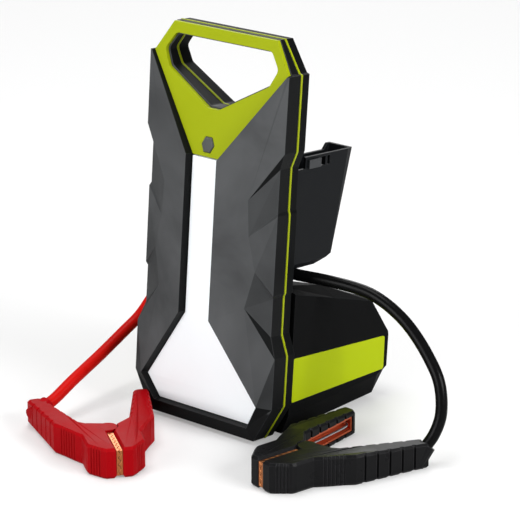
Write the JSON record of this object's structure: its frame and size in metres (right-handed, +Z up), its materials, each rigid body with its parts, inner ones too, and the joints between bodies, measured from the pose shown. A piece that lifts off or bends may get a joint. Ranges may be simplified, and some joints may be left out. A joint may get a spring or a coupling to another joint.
{
  "type": "jump starter pack",
  "caption": "Portable car jump starter with a tall armoured lamp body, lime carry handle, white work light, battery box foot, clamp pockets and red and black battery clamps on short leads.",
  "frame": {"origin": "centre of the pack's footprint on the ground, leads and clamps left out", "axes": "+Z up, +X to the pack's right side seen from behind the lamp, -Y the way the lamp faces"},
  "size_m": [0.2833, 0.2651, 0.2963],
  "materials": {
    "housing_plastic": "fine moulded grain",
    "lime_plastic": "satin",
    "diffuser_plastic": "milky diffuser",
    "board_white": "white solder mask",
    "board_green": "green solder mask",
    "grey_plastic": "satin",
    "battery_wrap": "film wrap",
    "soft_rubber": "matt",
    "steel": "zinc plated",
    "jaw_copper": "copper plated steel",
    "liner_copper": "copper plated sheet",
    "clamp_red": "satin moulded",
    "clamp_black": "satin moulded",
    "cable_red": "satin sheath",
    "cable_black": "satin sheath"
  },
  "bodies": {
    "pack": {"front_shell": "housing_plastic", "seam_trim": "lime_plastic", "rear_shell": "housing_plastic", "handle_plate": "lime_plastic", "lamp_lens": "diffuser_plastic", "led_board": "board_white", "button_switch": "board_green", "control_board": "board_green", "battery_housing": "housing_plastic", "base_cover": "housing_plastic", "battery_pack": "battery_wrap", "port_block": "grey_plastic", "side_panel_left": "lime_plastic", "clamp_pocket_left": "housing_plastic", "pocket_tab_left": "grey_plastic", "cable_gland_left": "soft_rubber", "foot_left_1": "soft_rubber", "foot_left_2": "soft_rubber", "base_screw_left_1": "steel", "base_screw_left_2": "steel", "case_screw_left_1": "steel", "case_screw_left_2": "steel", "side_panel_right": "lime_plastic", "clamp_pocket_right": "housing_plastic", "pocket_tab_right": "grey_plastic", "cable_gland_right": "soft_rubber", "foot_right_1": "soft_rubber", "foot_right_2": "soft_rubber", "base_screw_right_1": "steel", "base_screw_right_2": "steel", "case_screw_right_1": "steel", "case_screw_right_2": "steel", "red_cable_grip": "clamp_red", "red_cable_jaw": "jaw_copper", "red_pivot_pin": "steel", "red_cable": "cable_red", "black_cable_grip": "clamp_black", "black_cable_jaw": "jaw_copper", "black_pivot_pin": "steel", "black_cable": "cable_black"},
    "power_button": {"power_button": "grey_plastic"},
    "port_cover": {"port_cover": "soft_rubber"},
    "red_lever": {"red_lever_grip": "clamp_red", "red_lever_liner": "liner_copper", "red_lever_jaw": "jaw_copper", "red_spring": "steel"},
    "black_lever": {"black_lever_grip": "clamp_black", "black_lever_liner": "liner_copper", "black_lever_jaw": "jaw_copper", "black_spring": "steel"}
  },
  "joints": [
    {"name": "power_button_press", "type": "slide", "parent": "pack", "child": "power_button", "axis": [0, 0.972, -0.2351], "range_m": [0, 0.0009], "stiffness_N_per_m": 1500, "springref_m": -0.0004},
    {"name": "port_cover_hinge", "type": "hinge", "parent": "pack", "child": "port_cover", "pos_m": [0, -0.02751, 0.17545], "axis": [1, 0, 0], "range_deg": [0, 110]},
    {"name": "red_lever_hinge", "type": "hinge", "parent": "pack", "child": "red_lever", "pos_m": [-0.01742, -0.15211, 0.0115], "axis": [0, 0, 1], "range_deg": [0, 26], "stiffness_Nm_per_rad": 1.4, "springref_deg": -20.05},
    {"name": "black_lever_hinge", "type": "hinge", "parent": "pack", "child": "black_lever", "pos_m": [0.11421, -0.08699, 0.0115], "axis": [0, 0, -1], "range_deg": [0, 26], "stiffness_Nm_per_rad": 1.4, "springref_deg": -20.05}
  ]
}
